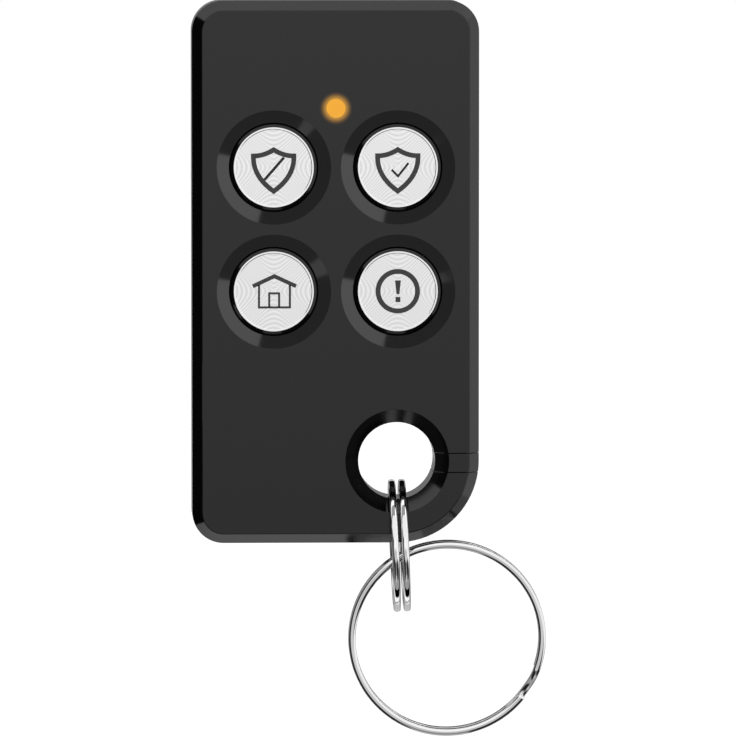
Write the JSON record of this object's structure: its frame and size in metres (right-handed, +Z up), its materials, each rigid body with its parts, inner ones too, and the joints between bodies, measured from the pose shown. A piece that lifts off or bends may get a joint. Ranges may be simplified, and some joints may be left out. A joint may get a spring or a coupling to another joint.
{
  "type": "alarm key fob",
  "caption": "Black rounded alarm key fob with dished round silver push buttons, an indicator light and a corner key hole holding a small and a large split ring.",
  "frame": {"origin": "centre of the back face, where the casing lies flat against a surface", "axes": "+Z up along the casing's length, +X to the right seen from the front, +Y out of the back face, so the buttons face -Y"},
  "size_m": [0.0412, 0.0154, 0.0856],
  "materials": {
    "casing_plastic": "fine satin, moulded black",
    "button_black": "gloss black",
    "button_silver": "spun, fine concentric rings, with dark printed icons",
    "amber_light": "clear amber, lit",
    "ring_chrome": "polished nickel plate on steel",
    "board_green": "solder mask over glass laminate",
    "chip_black": "moulded package",
    "white_plastic": "semi gloss",
    "can_steel": "plated can",
    "chip_ceramic": "fired ceramic",
    "tinned_wire": "tinned",
    "cell_steel": "satin steel can",
    "spring_steel": "plated spring strip"
  },
  "bodies": {
    "casing": {"front_shell": "casing_plastic", "rear_shell": "casing_plastic", "ring_gate": "casing_plastic", "light_pipe": "amber_light", "circuit_board": "board_green", "indicator_led": "white_plastic", "microcontroller": "chip_black", "radio_resonator": "can_steel", "capacitors": "chip_ceramic", "resistors": "chip_black", "antenna_loop": "tinned_wire", "coin_cell": "cell_steel", "battery_clip": "spring_steel", "battery_contact": "spring_steel", "disarm_switch_body": "chip_black", "away_switch_body": "chip_black", "stay_switch_body": "chip_black", "panic_switch_body": "chip_black"},
    "disarm_button": {"disarm_button_cap": "button_black", "disarm_button_face": "button_silver", "disarm_switch_plunger": "white_plastic"},
    "away_button": {"away_button_cap": "button_black", "away_button_face": "button_silver", "away_switch_plunger": "white_plastic"},
    "stay_button": {"stay_button_cap": "button_black", "stay_button_face": "button_silver", "stay_switch_plunger": "white_plastic"},
    "panic_button": {"panic_button_cap": "button_black", "panic_button_face": "button_silver", "panic_switch_plunger": "white_plastic"},
    "link_ring": {"link_ring": "ring_chrome"},
    "key_ring": {"key_ring": "ring_chrome"}
  },
  "joints": [
    {"name": "disarm_press", "type": "slide", "parent": "casing", "child": "disarm_button", "axis": [0, 1, 0], "range_m": [0, 0.00025], "stiffness_N_per_m": 4800, "springref_m": -0.00005},
    {"name": "away_press", "type": "slide", "parent": "casing", "child": "away_button", "axis": [0, 1, 0], "range_m": [0, 0.00025], "stiffness_N_per_m": 4800, "springref_m": -0.00005},
    {"name": "stay_press", "type": "slide", "parent": "casing", "child": "stay_button", "axis": [0, 1, 0], "range_m": [0, 0.00025], "stiffness_N_per_m": 4800, "springref_m": -0.00005},
    {"name": "panic_press", "type": "slide", "parent": "casing", "child": "panic_button", "axis": [0, 1, 0], "range_m": [0, 0.00025], "stiffness_N_per_m": 4800, "springref_m": -0.00005},
    {"name": "link_ring_swing", "type": "hinge", "parent": "casing", "child": "link_ring", "pos_m": [0.00705, -0.0048, -0.0218], "axis": [0, -1, 0], "range_deg": [-15, 80]},
    {"name": "key_ring_tilt", "type": "hinge", "parent": "link_ring", "child": "key_ring", "pos_m": [0.00755, -0.0048, -0.03326], "axis": [1, 0, 0], "range_deg": [-70, 70]}
  ]
}
